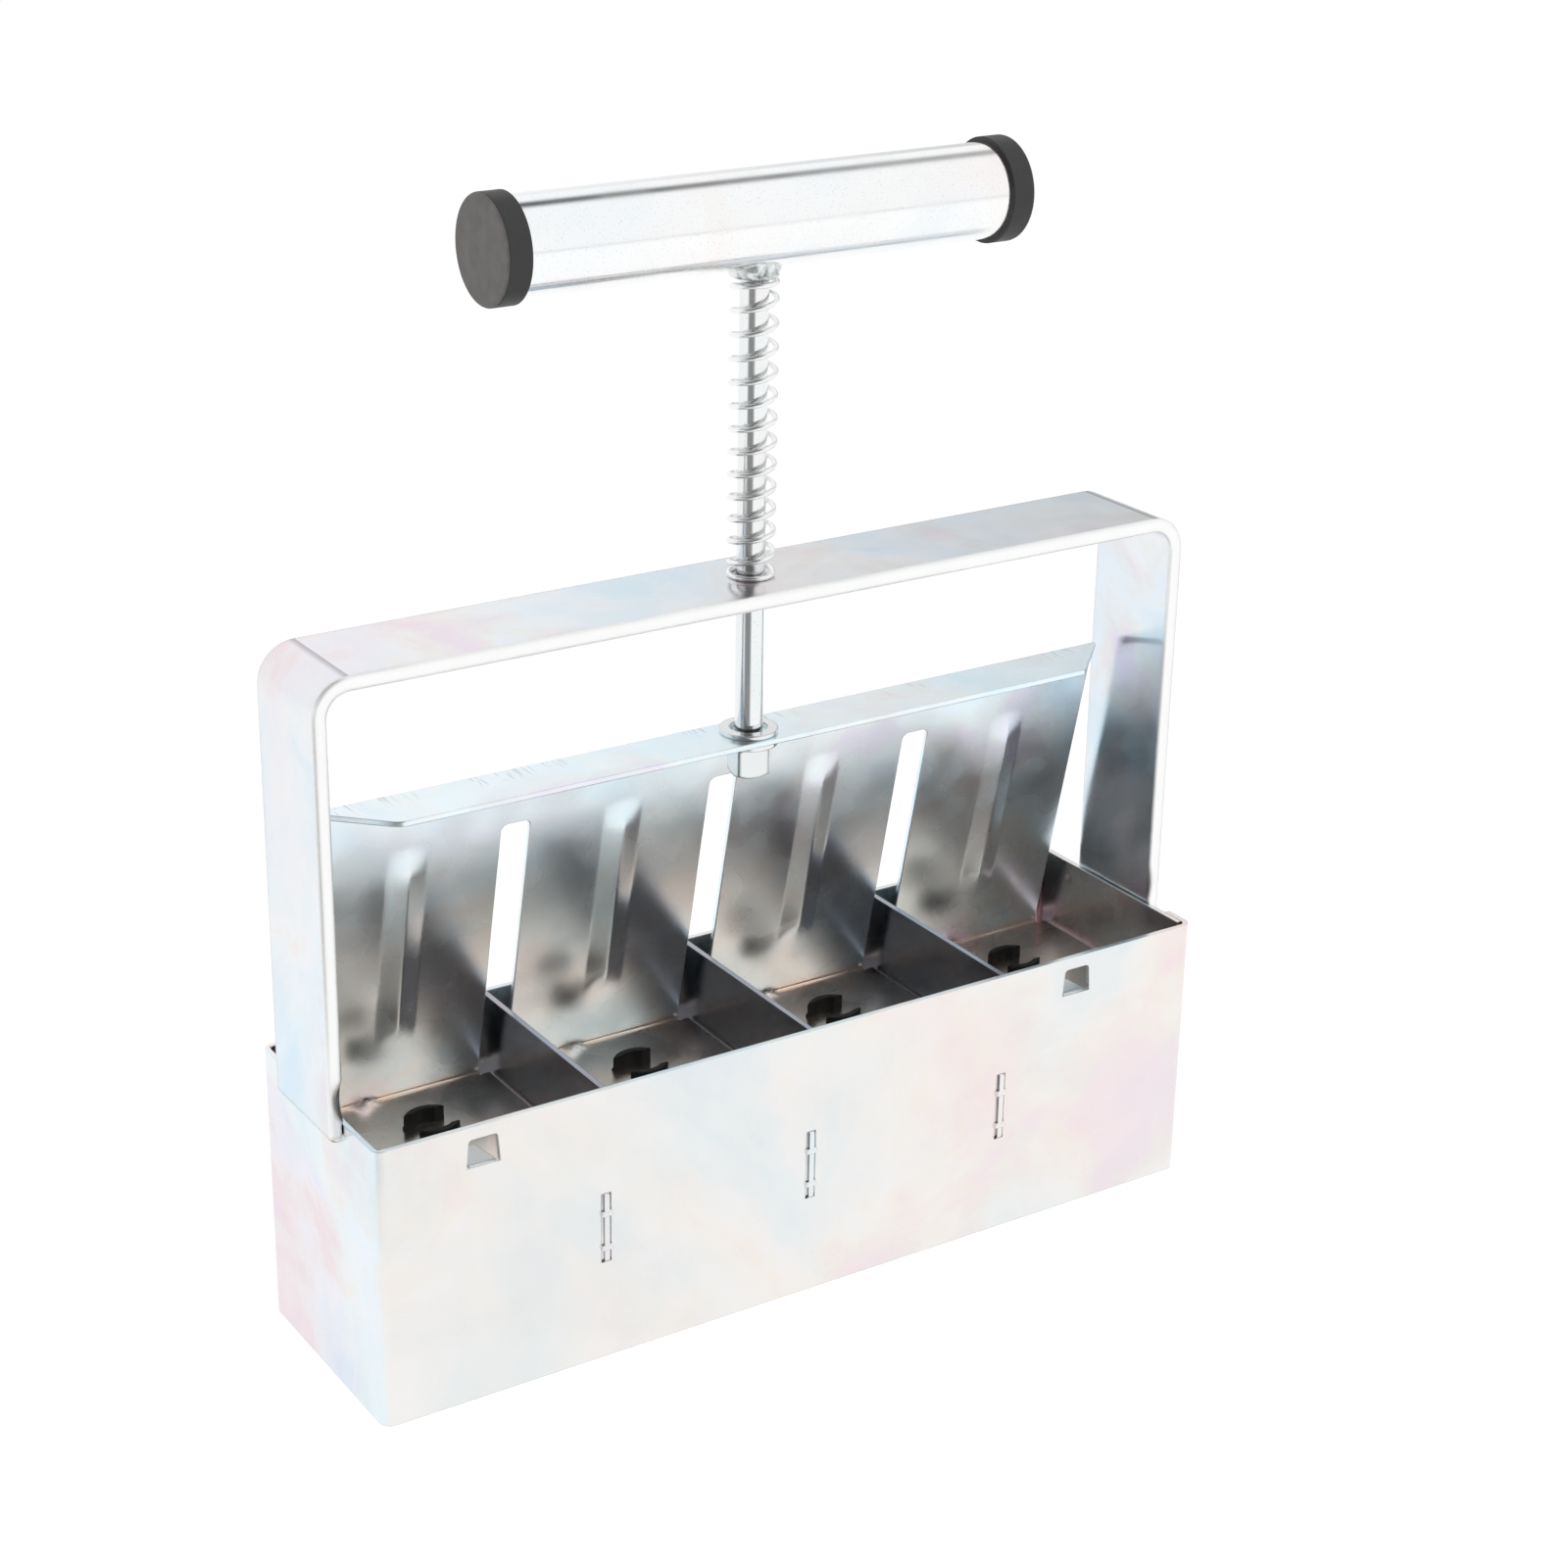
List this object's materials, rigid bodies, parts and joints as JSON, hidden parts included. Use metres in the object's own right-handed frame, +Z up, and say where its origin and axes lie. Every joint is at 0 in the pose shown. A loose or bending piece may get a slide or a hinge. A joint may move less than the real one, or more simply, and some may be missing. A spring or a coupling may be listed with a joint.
{
  "type": "soil blocker",
  "caption": "Hand soil blocker: open zinc-plated box of cells under a U-shaped bridge, with a sprung T-handle plunger whose plates push the pressed blocks out.",
  "frame": {"origin": "middle of the box's open bottom rim, on the surface that it stands on", "axes": "+X along the box and the handle, +Y to the back (the leaning back of the ejector), +Z up along the push rod"},
  "size_m": [0.2104, 0.055, 0.241],
  "materials": {
    "zinc_sheet": "bright blue-clear zinc plate with faint colour patches",
    "zinc_bright": "bright zinc plate, drawn along the bar",
    "zinc_weld": "lumpy plated weld",
    "spring_steel": "bright drawn wire",
    "black_plastic": "matte moulded"
  },
  "bodies": {
    "frame": {"mould_box": "zinc_sheet", "divider_1": "zinc_sheet", "divider_2": "zinc_sheet", "divider_3": "zinc_sheet", "bridge": "zinc_sheet", "bridge_weld_left": "zinc_weld", "bridge_weld_right": "zinc_weld", "return_spring": "spring_steel"},
    "plunger": {"ejector": "zinc_sheet", "seed_pin_1": "black_plastic", "seed_pin_2": "black_plastic", "seed_pin_3": "black_plastic", "seed_pin_4": "black_plastic", "push_rod": "zinc_bright", "square_nut": "zinc_bright", "upper_washer": "zinc_bright", "lower_washer": "zinc_bright", "rod_weld": "zinc_weld", "handle_tube": "zinc_bright", "end_cap_left": "black_plastic", "end_cap_right": "black_plastic"}
  },
  "joints": [
    {"name": "push", "type": "slide", "parent": "frame", "child": "plunger", "axis": [0, 0, 1], "range_m": [-0.044, 0.0071], "stiffness_N_per_m": 1200, "springref_m": 0.0027, "deforming": ["return_spring"]}
  ]
}
